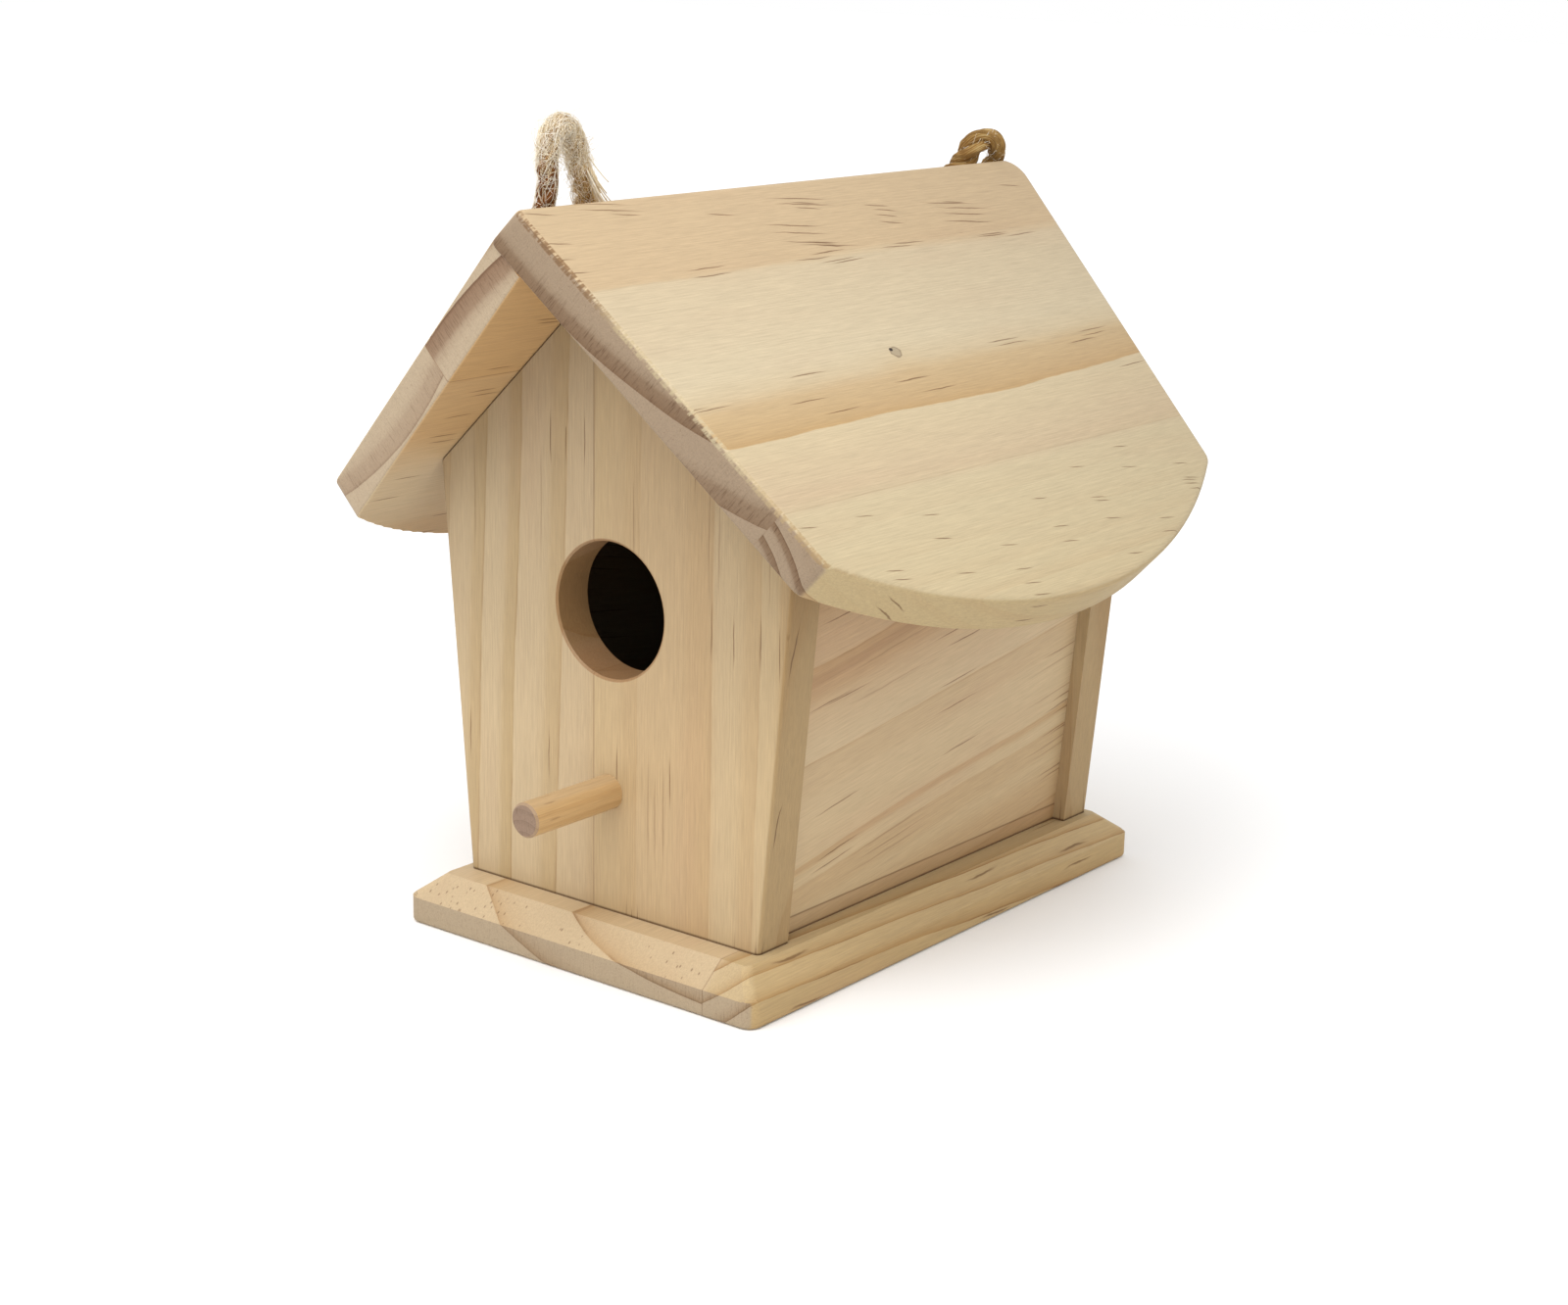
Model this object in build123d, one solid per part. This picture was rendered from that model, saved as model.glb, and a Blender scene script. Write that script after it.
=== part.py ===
from build123d import *
import math
import os

# A nesting box in unfinished pine: a bevelled base, two gabled end walls, two side panels that
# lean outwards between them, two roof boards with curved eaves, a perch and a jute hanging rope.
# Millimetres. X is to the right, the entrance faces -Y and Z is up. The origin is the middle of
# the base's underside.

# Boards
BOARD = 12.7  # walls, side panels and roof boards are all planed to this thickness
BASE_THICK = 14.0
BASE_HALF_X = 63.5
BASE_HALF_Y = 93.5
BASE_CORNER_R = 4.0
BEVEL_HEIGHT = 6.5  # the sloping band round the top of the base
BEVEL_WIDTH = 7.75
BASE_EASE = 1.0

# End walls: both have the same outline
WALL_FRONT_Y = -78.0  # outer face of the front wall
WALL_BACK_Y = 84.0  # outer face of the back wall
WALL_BOTTOM_HALF = 53.0
WALL_LEAN = math.radians(4.99)  # each side edge leans outwards by this
WALL_ARRIS_R = 1.5
WALL_EASE = 0.5
SIDE_RECESS = 4.0  # the side panels sit this far in from the walls' edges

# Roof
PITCH = math.radians(43.5)
RIDGE_Z = 209.5  # where the two outer faces meet
RIDGE_HALF_Y = 112.5
EAVE_HALF_Y = 93.5
ROOF_SHIFT_Y = -1.5  # the roof is set a little forward on the walls
RIGHT_LENGTH = 117.5  # down the slope, from the ridge to a corner of the eave
LEFT_LENGTH = 123.0
EAVE_RISE = 28.0  # how far the curved eave bulges past its corners
ROOF_CORNER_R = 5.0
RIGHT_ARRIS_R = 2.0  # the right board's outer edges and the ridge are sanded round
LEFT_ARRIS_R = 0.9
ROOF_UNDER_R = 0.8
RIDGE_CORNER_R = (3.0, 7.0)  # the right board's ridge corners, front and rear

# Entrance and perch
ENTRANCE_R = 19.0
ENTRANCE_Z = 99.5
ENTRANCE_EASE = 0.5
PERCH_R = 4.85
PERCH_Z = 48.5
PERCH_OUT = 33.5
PERCH_IN = 10.0
PERCH_EASE = 0.6

# Glued dowel pins, hidden in blind holes
PIN_R = 3.0
PIN_GLUE = 0.05  # glue room round a pin
PIN_IN_FACE = 7.0  # depth of the hole in the face of a board
PIN_IN_EDGE = 13.0  # depth of the hole in the edge or end of a board
PIN_END_GAP = 0.5
SIDE_PIN_HEIGHTS = (42.0, 112.0)
ROOF_PIN_SLOPES = (38.0, 70.0)  # down the slope from the ridge

# Countersunk screws, up through the base into the end walls
SCREW_R = 1.75
SCREW_HEAD_R = 3.5
SCREW_HEAD_H = 2.2
SCREW_LENGTH = 32.0
SCREW_TIP = 4.0
SCREW_SUNK = 0.4  # the head lies this far below the underside
SCREW_X = 30.0
SCREW_ROOM = 0.05

# Rope
ROPE_R = 2.75
ROPE_HOLE_R = 3.3
ROPE_HOLE_SLOPE = 30.0  # down the left slope from the ridge
ROPE_HOLE_FRONT_Y = -55.0
ROPE_HOLE_REAR_Y = 61.0
KNOT_R = 6.6
KNOT_HEIGHT = 11.0
KNOT_LAND_R = 4.6  # the flat ring of the knot that bears on the board

sin_p = math.sin(PITCH)
cos_p = math.cos(PITCH)
tan_p = math.tan(PITCH)
under_ridge_z = RIDGE_Z - BOARD / cos_p


def under_roof(x):
    """Height of the roof's underside."""
    return under_ridge_z - abs(x) * tan_p


def wall_half(z):
    """Half width of an end wall."""
    return WALL_BOTTOM_HALF + (z - BASE_THICK) * math.tan(WALL_LEAN)


def meets_roof(half_at_base):
    """Where a line that leans like the walls' edges reaches the roof's underside."""
    lean = math.tan(WALL_LEAN)
    x = (half_at_base + (under_ridge_z - BASE_THICK) * lean) / (1 + tan_p * lean)
    return x, under_roof(x)


def slope_plane(side, down=0.0, y=0.0):
    """A plane on a slope's outer face: x down the slope, z out of the roof. side is 1 or -1."""
    origin = (side * down * cos_p, y, RIDGE_Z - down * sin_p)
    return Plane(origin=origin, x_dir=(side * cos_p, 0, -sin_p), z_dir=(side * sin_p, 0, cos_p))


def on_slope(side, down, y, out):
    """A point out from a slope's outer face, as a tuple."""
    point = slope_plane(side, down, y).from_local_coords(Vector(0, 0, out))
    return (point.X, point.Y, point.Z)


def side_pin_places(wall_inner_y, toward):
    """Centres and directions of the pins between one end wall and the side panels."""
    for side in (-1, 1):
        for z in SIDE_PIN_HEIGHTS:
            x = wall_half(z) - (SIDE_RECESS + BOARD / 2) / math.cos(WALL_LEAN)
            yield Plane(origin=(side * x, wall_inner_y, z), z_dir=(0, toward, 0))


def roof_pin_places(wall_mid_y):
    """Planes on the roof's underside, z into the roof board, over the middle of an end wall."""
    for side in (-1, 1):
        for down in ROOF_PIN_SLOPES:
            place = on_slope(side, down, wall_mid_y, -BOARD)
            yield Plane(origin=place, z_dir=(side * sin_p, 0, cos_p))


def dowel_pin(plane):
    """A pin through a joint: plane's z points into the board that is drilled in its face."""
    length = PIN_IN_FACE + PIN_IN_EDGE - 2 * PIN_END_GAP
    pin = Cylinder(PIN_R, length)
    pin = chamfer(pin.edges().filter_by(GeomType.CIRCLE), 0.5)
    return plane * Pos(0, 0, (PIN_IN_FACE - PIN_IN_EDGE) / 2) * pin


def both_holes(plane):
    """The room for one pin, in the board drilled in its face and in the other one."""
    room = Cylinder(PIN_R + PIN_GLUE, PIN_IN_FACE + PIN_IN_EDGE)
    return plane * Pos(0, 0, (PIN_IN_FACE - PIN_IN_EDGE) / 2) * room


FRONT_MID_Y = WALL_FRONT_Y + BOARD / 2
BACK_MID_Y = WALL_BACK_Y - BOARD / 2
FRONT_INNER_Y = WALL_FRONT_Y + BOARD
BACK_INNER_Y = WALL_BACK_Y - BOARD

side_pin_planes = [
    *side_pin_places(FRONT_INNER_Y, -1),
    *side_pin_places(BACK_INNER_Y, 1),
]
roof_pin_planes = [*roof_pin_places(FRONT_MID_Y), *roof_pin_places(BACK_MID_Y)]
screw_places = [(x, y) for y in (FRONT_MID_Y, BACK_MID_Y) for x in (-SCREW_X, SCREW_X)]


def screw_outline(room):
    """Half of a screw's lengthwise section, standing on its head, with room all round."""
    head = SCREW_HEAD_R + room
    shank = SCREW_R + room
    top = SCREW_LENGTH + room
    return Polyline(
        (0, 0),
        (head, 0),
        (head, 0.4),
        (shank, SCREW_HEAD_H),
        (shank, top - SCREW_TIP),
        (0, top),
        (0, 0),
    )


def screw_shape(room):
    face = Plane.XZ * make_face(screw_outline(room))
    return revolve(face, Axis.Z)


def make_screw():
    """A wood screw with a cross recess in its head."""
    screw = screw_shape(0)
    for turn in (0, 90):
        screw -= Rot(0, 0, turn) * Pos(0, 0, 0.7) * Box(4.0, 0.9, 1.4)
    return screw


def screw_room():
    """A screw's countersunk hole, open at the underside."""
    return screw_shape(SCREW_ROOM) + Pos(0, 0, -1.0) * Cylinder(SCREW_HEAD_R + SCREW_ROOM, 2.0)


def at_screws(shape):
    return [Pos(x, y, SCREW_SUNK) * shape for x, y in screw_places]


def make_base():
    base = extrude(Rectangle(2 * BASE_HALF_X, 2 * BASE_HALF_Y), BASE_THICK)
    top = base.faces().sort_by(Axis.Z)[-1]
    base = chamfer(top.edges(), length=BEVEL_WIDTH, length2=BEVEL_HEIGHT, reference=top)
    corners = base.edges().filter_by(lambda e: abs(e.tangent_at(0.5).Z) > 0.3)
    base = fillet(corners, BASE_CORNER_R)
    bottom = base.faces().sort_by(Axis.Z)[0]
    base = fillet(bottom.edges(), BASE_EASE)
    for room in at_screws(screw_room()):
        base -= room
    return base


def wall_blank(outer_y, toward):
    """An end wall before drilling. toward is the way from its outer face into the box."""
    top_x, top_z = meets_roof(WALL_BOTTOM_HALF)
    outline = Polyline(
        (-WALL_BOTTOM_HALF, BASE_THICK),
        (WALL_BOTTOM_HALF, BASE_THICK),
        (top_x, top_z),
        (0, under_ridge_z),
        (-top_x, top_z),
        (-WALL_BOTTOM_HALF, BASE_THICK),
    )
    middle_y = outer_y + toward * BOARD / 2
    wall = extrude(Plane.XZ.offset(-middle_y) * make_face(outline), BOARD / 2, both=True)
    outer = wall.faces().sort_by(Axis.Y)[0 if toward > 0 else -1]
    uprights = outer.edges().filter_by(lambda e: abs(e.tangent_at(0.5).Z) > 0.9)
    wall = fillet(uprights, WALL_ARRIS_R)
    outer = wall.faces().sort_by(Axis.Y)[0 if toward > 0 else -1]
    rakes = outer.edges().filter_by(lambda e: 0.3 < abs(e.tangent_at(0.5).Z) < 0.9)
    return chamfer(rakes, WALL_EASE)


def drill_wall(wall, side_planes, pin_planes):
    for plane in [*side_planes, *pin_planes]:
        wall -= both_holes(plane)
    for room in at_screws(screw_room()):
        wall -= room
    return wall


def make_front_wall():
    wall = wall_blank(WALL_FRONT_Y, 1)
    entrance = Plane.XZ.offset(-FRONT_MID_Y) * Pos(0, ENTRANCE_Z, 0) * Cylinder(ENTRANCE_R, 2 * BOARD)
    wall -= entrance
    rims = wall.edges().filter_by(GeomType.CIRCLE)
    rims = rims.filter_by(lambda e: abs(e.radius - ENTRANCE_R) < 0.01)
    wall = chamfer(rims, ENTRANCE_EASE)
    socket_y = WALL_FRONT_Y + PERCH_IN / 2
    wall -= Plane.XZ.offset(-socket_y) * Pos(0, PERCH_Z, 0) * Cylinder(PERCH_R, PERCH_IN)
    return drill_wall(wall, side_pin_planes[:4], roof_pin_planes[:4])


def make_back_wall():
    return drill_wall(wall_blank(WALL_BACK_Y, -1), side_pin_planes[4:], roof_pin_planes[4:])


def make_side_panel(side):
    """A leaning side panel, its top edge cut to the roof's underside."""
    outer_half = WALL_BOTTOM_HALF - SIDE_RECESS / math.cos(WALL_LEAN)
    inner_half = outer_half - BOARD / math.cos(WALL_LEAN)
    outer_top = meets_roof(outer_half)
    inner_top = meets_roof(inner_half)
    outline = Polyline(
        (side * inner_half, BASE_THICK),
        (side * outer_half, BASE_THICK),
        (side * outer_top[0], outer_top[1]),
        (side * inner_top[0], inner_top[1]),
        (side * inner_half, BASE_THICK),
    )
    middle_y = (FRONT_INNER_Y + BACK_INNER_Y) / 2
    depth = BACK_INNER_Y - FRONT_INNER_Y
    panel = extrude(Plane.XZ.offset(-middle_y) * make_face(outline), depth / 2, both=True)
    for plane in side_pin_planes:
        panel -= both_holes(plane)
    return panel


def rake_half(down):
    """Half depth of the roof at a distance down the slope."""
    return RIDGE_HALF_Y - (RIDGE_HALF_Y - EAVE_HALF_Y) * down / RIGHT_LENGTH


def roof_outline(length):
    """A roof board seen square on: x down the slope, y along the ridge, running past the ridge."""
    above = -BOARD
    half = rake_half(length)
    edge = Polyline((length, half), (above, rake_half(above)), (above, -rake_half(above)), (length, -half))
    eave = ThreePointArc((length, -half), (length + EAVE_RISE, 0), (length, half))
    outline = make_face([*edge.edges(), eave])
    corners = outline.vertices().filter_by(lambda v: abs(v.X - length) < 0.01)
    return fillet(corners, ROOF_CORNER_R)


def ridge_corner(board, end_plane, end):
    """The short edge through the board's thickness at one end of its ridge."""
    def off(edge):
        return abs((edge.center() - end_plane.origin).dot(end_plane.z_dir))

    return end([e for e in board.edges() if off(e) < 0.01 and e.length < 2 * BOARD], key=lambda e: e.center().Y)


def roof_blank(side, length, end_plane, arris, round_ridge):
    """A roof board from the ridge to the eave, its upper end cut off along end_plane."""
    plane = slope_plane(side, 0, ROOF_SHIFT_Y)
    board = extrude(plane * roof_outline(length), -BOARD)
    board = split(board, bisect_by=end_plane, keep=Keep.BOTTOM)
    if round_ridge:
        for radius, end in zip(RIDGE_CORNER_R, (min, max)):
            board = fillet(ridge_corner(board, end_plane, end), radius)
    ridge = plane.location.position
    outer = max(board.faces(), key=lambda f: f.center().dot(plane.z_dir) if f.area > 5000 else -1e9)
    inner = min(board.faces(), key=lambda f: f.center().dot(plane.z_dir) if f.area > 5000 else 1e9)

    def away(edge):
        return (edge.center() - ridge).dot(plane.x_dir) > 2 * BOARD

    board = fillet([e for e in outer.edges() if round_ridge or away(e)], arris)
    inner = min(board.faces(), key=lambda f: f.center().dot(plane.z_dir) if f.area > 5000 else 1e9)
    return fillet([e for e in inner.edges() if away(e)], ROOF_UNDER_R)


def drill_roof(board):
    for plane in roof_pin_planes:
        board -= both_holes(plane)
    return board


def make_roof_right():
    """The right board covers the upper end of the left one, and is planed flush with it."""
    board = roof_blank(1, RIGHT_LENGTH, slope_plane(-1), RIGHT_ARRIS_R, True)
    return drill_roof(board)


def rope_hole(y):
    plane = slope_plane(-1, ROPE_HOLE_SLOPE, y)
    return plane * Cylinder(ROPE_HOLE_R, 4 * BOARD)


def make_roof_left():
    """The left board butts against the right one's inner face, and takes the rope."""
    board = roof_blank(-1, LEFT_LENGTH, slope_plane(1).offset(-BOARD), LEFT_ARRIS_R, False)
    for y in (ROPE_HOLE_FRONT_Y, ROPE_HOLE_REAR_Y):
        board -= rope_hole(y)
    return drill_roof(board)


def make_perch():
    length = PERCH_IN + PERCH_OUT
    perch = Cylinder(PERCH_R, length)
    perch = chamfer(perch.edges().filter_by(GeomType.CIRCLE), PERCH_EASE)
    middle_y = WALL_FRONT_Y + PERCH_IN - length / 2
    return Plane.XZ.offset(-middle_y) * Pos(0, PERCH_Z, 0) * perch


# The rope's route, one point at each corner: out of the front hole, up in a tight arch above the
# ridge, round in a slack loop that lies on the left slope, up in a low arch, and into the rear
# hole.
ROPE_POINTS = [
    on_slope(-1, ROPE_HOLE_SLOPE, ROPE_HOLE_FRONT_Y, -BOARD),
    on_slope(-1, ROPE_HOLE_SLOPE, ROPE_HOLE_FRONT_Y, 8.0),
    (-12.0, -74.0, 205.2),
    (-7.0, -82.8, 229.6),
    (-7.0, -94.8, 227.0),
    (-10.0, -91.0, 207.0),
    on_slope(-1, 34.0, -88.0, 3.6),
    on_slope(-1, 66.0, -76.0, 3.0),
    on_slope(-1, 95.0, -42.0, 3.0),
    on_slope(-1, 104.0, 10.0, 3.0),
    on_slope(-1, 88.0, 60.0, 3.0),
    on_slope(-1, 54.0, 88.0, 3.0),
    on_slope(-1, 24.0, 103.0, 3.6),
    (-4.5, 107.0, 209.8),
    (-2.0, 102.0, 217.9),
    (-4.5, 91.0, 216.3),
    (-8.5, 91.5, 207.3),
    on_slope(-1, 22.0, 79.0, 3.6),
    on_slope(-1, ROPE_HOLE_SLOPE, ROPE_HOLE_REAR_Y, 6.5),
    on_slope(-1, ROPE_HOLE_SLOPE, ROPE_HOLE_REAR_Y, -BOARD),
]


def corner_radii(points):
    """A radius for each corner, as large as its shorter run allows."""
    radii = []
    for before, here, after in zip(points, points[1:], points[2:]):
        arriving = Vector(here) - Vector(before)
        leaving = Vector(after) - Vector(here)
        half_turn = math.radians(arriving.get_angle(leaving)) / 2
        radii.append(0.45 * min(arriving.length, leaving.length) / math.tan(half_turn))
    return radii


def make_rope():
    radii = corner_radii(ROPE_POINTS)
    print("rope corner radii", [round(r, 1) for r in radii])
    route = FilletPolyline(*ROPE_POINTS, radius=radii)
    section = Plane(origin=route @ 0, z_dir=route % 0) * Circle(ROPE_R)
    rope = sweep(section, path=route)
    expected = math.pi * ROPE_R**2 * route.length
    print(f"rope length {route.length:.1f}, volume {rope.volume:.0f} of {expected:.0f}")
    return rope


def make_knot(y):
    """A stopper knot drawn up against the underside of the left board."""
    swell = KNOT_HEIGHT / 2
    side = Spline(
        (KNOT_LAND_R, 0),
        (KNOT_R, -swell),
        (0, -KNOT_HEIGHT),
        tangents=((0.9, -0.5), (-1, 0)),
    )
    outline = make_face([Line((0, -KNOT_HEIGHT), (0, 0)), Line((0, 0), (KNOT_LAND_R, 0)), side])
    knot = revolve(Plane.XZ * outline, Axis.Z)
    return slope_plane(-1, ROPE_HOLE_SLOPE, y).offset(-BOARD) * knot


def group(shapes):
    return Compound(children=[Solid(s.solids()[0].wrapped) for s in shapes])


parts = {
    "base_board": make_base(),
    "front_wall": make_front_wall(),
    "back_wall": make_back_wall(),
    "side_panel_left": make_side_panel(-1),
    "side_panel_right": make_side_panel(1),
    "roof_board_left": make_roof_left(),
    "roof_board_right": make_roof_right(),
    "perch_dowel": make_perch(),
    "side_dowel_pins": group([dowel_pin(p) for p in side_pin_planes]),
    "roof_dowel_pins": group([dowel_pin(p) for p in roof_pin_planes]),
    "base_screws": group(at_screws(make_screw())),
    "hanging_rope": make_rope(),
    "rope_knot_front": make_knot(ROPE_HOLE_FRONT_Y),
    "rope_knot_rear": make_knot(ROPE_HOLE_REAR_Y),
}

os.makedirs("parts", exist_ok=True)
for name, shape in parts.items():
    export_step(shape, f"parts/{name}.step")
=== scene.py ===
import math
from functools import partial

import bpy
import numpy as np
from mathutils import Matrix, Vector


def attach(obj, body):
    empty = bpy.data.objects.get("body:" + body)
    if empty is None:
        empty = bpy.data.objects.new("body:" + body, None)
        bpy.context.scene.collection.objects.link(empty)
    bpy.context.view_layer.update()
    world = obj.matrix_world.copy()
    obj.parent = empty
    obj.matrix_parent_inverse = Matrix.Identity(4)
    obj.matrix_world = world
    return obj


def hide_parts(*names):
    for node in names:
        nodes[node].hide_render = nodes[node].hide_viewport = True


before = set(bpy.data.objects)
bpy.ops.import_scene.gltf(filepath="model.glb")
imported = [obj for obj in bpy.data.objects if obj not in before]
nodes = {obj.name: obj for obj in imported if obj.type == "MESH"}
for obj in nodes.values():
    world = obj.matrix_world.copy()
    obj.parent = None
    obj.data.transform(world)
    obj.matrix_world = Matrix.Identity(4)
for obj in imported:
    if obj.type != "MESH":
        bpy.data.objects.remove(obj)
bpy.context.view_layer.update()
mm = 0.001
print("frame loaded:", len(nodes), "nodes")


# Colour and material helpers

def linear(hexColour):
    # sRGB hex to linear: c/12.92 below 0.04045, else ((c + 0.055)/1.055)^2.4
    channels = [int(hexColour[i:i + 2], 16) / 255 for i in (1, 3, 5)]
    return [c / 12.92 if c <= 0.04045 else ((c + 0.055) / 1.055) ** 2.4 for c in channels] + [1]


def addNode(tree, kind, *values, named=(), stops=(), **settings):
    # one node: "Math ADD" is a Math node set to ADD; the values fill its shown sockets in order and
    # the named ones by name, each a link where it is a socket and otherwise a constant
    kind, _, operation = kind.partition(" ")
    node = tree.nodes.new("ShaderNode" + kind)
    if operation:
        node.operation = operation
    for name, value in settings.items():
        setattr(node, name, value)
    for i, (place, colour) in enumerate(stops):
        marks = node.color_ramp.elements
        mark = marks[i] if i < 2 else marks.new(place)
        mark.position = place
        mark.color = linear(colour) if isinstance(colour, str) else [colour] * 3 + [1]
    shown = [s for s in node.inputs if s.enabled]
    wanted = list(zip(shown, values)) + [(node.inputs[name], value) for name, value in dict(named).items()]
    for socket, value in wanted:
        if isinstance(value, bpy.types.NodeSocket):
            tree.links.new(value, socket)
        else:
            socket.default_value = value
    return next(s for s in node.outputs if s.enabled)


def newMaterial(name):
    material = bpy.data.materials.new(name)
    material.use_nodes = True
    tree = material.node_tree
    return material, tree, tree.nodes["Principled BSDF"]


def dress(nodeName, material):
    slots = nodes[nodeName].material_slots
    for slot in slots:
        slot.material = material


# Camera

cameraPlace = dict(
    place=(0.47792, -0.61239, 0.28157),
    target=(-0.00194, 0.00095, 0.07173),
    roll=1.08,  # degrees, clockwise tilt of the camera body
    lens=63.10,
)


def makeCamera(look):
    # columns right, up and back, turned about the line of sight by the roll
    place, target = Vector(look["place"]), Vector(look["target"])
    ahead = (target - place).normalized()
    right = ahead.cross(Vector((0, 0, 1))).normalized()
    up = right.cross(ahead)
    roll = math.radians(look["roll"])
    rolledRight = right * math.cos(roll) + up * math.sin(roll)
    rolledUp = up * math.cos(roll) - right * math.sin(roll)
    data = bpy.data.cameras.new("camera")
    data.lens = look["lens"]
    data.sensor_width = 36
    data.clip_end = 20
    camera = bpy.data.objects.new("camera", data)
    bpy.context.scene.collection.objects.link(camera)
    turn = Matrix((rolledRight, rolledUp, -ahead)).transposed().to_4x4()
    camera.matrix_world = Matrix.Translation(place) @ turn
    bpy.context.scene.camera = camera


makeCamera(cameraPlace)
print("camera placed")


# Rope

pitch = math.radians(43.5)
sinP, cosP = math.sin(pitch), math.cos(pitch)
ridgeZ = 209.5
boardThick = 12.7
frontHole, rearHole = (30, -55), (30, 61)  # down the left slope from the ridge, and along it


def onSlope(side, down, y, out):
    # down the slope from the ridge, along it, and out of the roof's face, in mm
    return (
        side * (down * cosP + out * sinP),
        y,
        ridgeZ - down * sinP + out * cosP,
    )


ropeLook = dict(
    points=[
        onSlope(-1, *frontHole, -boardThick), onSlope(-1, *frontHole, 8),
        (-12, -73.5, 205.2), (-7, -85.2, 229.2), (-7, -94.6, 226.4), (-10, -90.2, 207),
        onSlope(-1, 34, -88, 3.6), onSlope(-1, 66, -76, 3), onSlope(-1, 95, -42, 3),
        onSlope(-1, 104, 10, 3), onSlope(-1, 88, 60, 3), onSlope(-1, 54, 88, 3),
        onSlope(-1, 24, 103, 3.6), (-4.5, 106.2, 207.4), (-2, 103, 215), (-4, 94, 216),
        (-8.6, 93, 206.3), onSlope(-1, 22, 85, 4.8), onSlope(-1, *rearHole, 6.5),
        onSlope(-1, *rearHole, -boardThick),
    ],
    radius=2.75,
    strandRadius=1.38,
    strandOffset=1.40,
    lay=17.0,  # one full turn of a strand, mm
    length=0.475,
    aside=(1, 0, 0),
    opened=(411, 10, 0.36),  # the bend opens the strands: where, over what length, by what share
)


def splineOf(points, stepsPerRun):
    # a smooth line steered by the points, as Blender's own NURBS spline gives it, in mm
    curve = bpy.data.curves.new("route", "CURVE")
    curve.dimensions = "3D"
    spline = curve.splines.new("NURBS")
    spline.points.add(len(points) - 1)
    for mark, place in zip(spline.points, points):
        mark.co = (*[c * mm for c in place], 1)
    spline.order_u = 3
    spline.use_endpoint_u = True
    spline.resolution_u = stepsPerRun
    holder = bpy.data.objects.new("route", curve)
    bpy.context.scene.collection.objects.link(holder)
    mesh = bpy.data.meshes.new_from_object(holder)
    line = np.zeros(len(mesh.vertices) * 3)
    mesh.vertices.foreach_get("co", line)
    bpy.data.objects.remove(holder)
    bpy.data.meshes.remove(mesh)
    return line.reshape(-1, 3) / mm


def unit(vectors):
    return vectors / np.maximum(np.linalg.norm(vectors, axis=-1, keepdims=True), 1e-9)


def alongLine(line):
    # distance from the start to each point
    return np.concatenate([[0], np.cumsum(np.linalg.norm(np.diff(line, axis=0), axis=1))])


def crossFrame(line, aside):
    # two directions square to the line at each point, steady against the aside direction
    tangent = unit(np.gradient(line, axis=0))
    first = unit(np.cross(tangent, np.array(aside, float)))
    return first, np.cross(tangent, first)


def gridMesh(name, rows, material, cap=False, lie=None):
    # rows is an array (pieces, along, around, 3) in mm: a skin closed round each piece
    count, along, around = rows.shape[:3]
    index = np.arange(count * along * around).reshape(count, along, around)
    nextOne = np.roll(index, -1, axis=2)
    quads = np.stack([index[:, :-1], nextOne[:, :-1], nextOne[:, 1:], index[:, 1:]], axis=-1)
    faces = quads.reshape(-1, 4).tolist()
    if cap:
        faces += index[:, 0, ::-1].tolist() + index[:, -1].tolist()
    mesh = bpy.data.meshes.new(name)
    mesh.from_pydata((rows.reshape(-1, 3) * mm).tolist(), [], faces)
    if lie is not None:
        layer = mesh.attributes.new("lie", "FLOAT_VECTOR", "POINT")
        layer.data.foreach_set("vector", lie.reshape(-1).astype(np.float32))
    mesh.polygons.foreach_set("use_smooth", [True] * len(mesh.polygons))
    mesh.update()
    mesh.materials.append(material)
    piece = bpy.data.objects.new(name, mesh)
    bpy.context.scene.collection.objects.link(piece)
    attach(piece, "root")
    return piece


def juteMaterial(name, look):
    # jute: dull bast fibres combed along each strand, with painted light and shade along the rope:
    # brown painted shade on the front arch's left leg, near-white painted light on its top. "lie" is mm along
    # the rope, mm round the strand, and the strand
    material, tree, shader = newMaterial(name)
    lie = addNode(tree, "Attribute", attribute_name="lie").node.outputs["Vector"]
    along = addNode(tree, "SeparateXYZ", lie)
    # fibres 0.25 mm wide and about 5 mm long
    combed = addNode(tree, "VectorMath MULTIPLY", lie, (1 / 5.0, 1 / 0.25, 1.0))
    fibre = addNode(tree, "TexNoise", combed, 1.0, 3.0, 0.6)
    patches = addNode(tree, "TexNoise", addNode(tree, "TexCoord").node.outputs["Object"], 220.0, 2.0)
    tone = addNode(tree, "Math MULTIPLY_ADD", patches, 0.45, fibre)
    colour = addNode(tree, "ValToRGB", tone, stops=look["stops"])
    # painted light and shade along the rope, multiplied onto the fibre colour
    whole = addNode(tree, "Math DIVIDE", along, look["span"])
    tint = addNode(tree, "ValToRGB", whole, stops=[(s / look["span"], c) for s, c in look["lightAndShadeTints"]])
    tinted = addNode(tree, "Mix", 1.0, colour, tint, data_type="RGBA", blend_type="MULTIPLY")
    tree.links.new(tinted, shader.inputs["Base Color"])
    shader.inputs["Roughness"].default_value = 0.85
    shader.inputs["Specular IOR Level"].default_value = 0.2
    bump = addNode(tree, "Bump", named={"Height": fibre, "Strength": 0.9, "Distance": 0.0004})
    tree.links.new(bump, shader.inputs["Normal"])
    return material


juteYarn = juteMaterial("juteYarn", dict(
    stops=[(0.42, "#5A3C20"), (0.60, "#9A7648"), (0.76, "#C2A16C"), (0.92, "#E6D3AA")],
    span=475.0,  # mm of rope that the tints cover
    # by mm along it, painted light and shade: cream on the front arch's lit right leg and near-white on its
    # top, brown painted shade on its left leg, dull round the rear arch
    lightAndShadeTints=[
        (30, "#E0D2B8"), (42, "#F6E8CE"), (64, "#FFFFFF"), (74, "#F2E2CC"), (82, "#9A7050"),
        (96, "#9A7050"), (120, "#E8DCC4"), (390, "#BDAE90"), (402, "#CFC4A8"), (425, "#A8967A"),
        (460, "#E8DCC4"),
    ],
))


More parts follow.
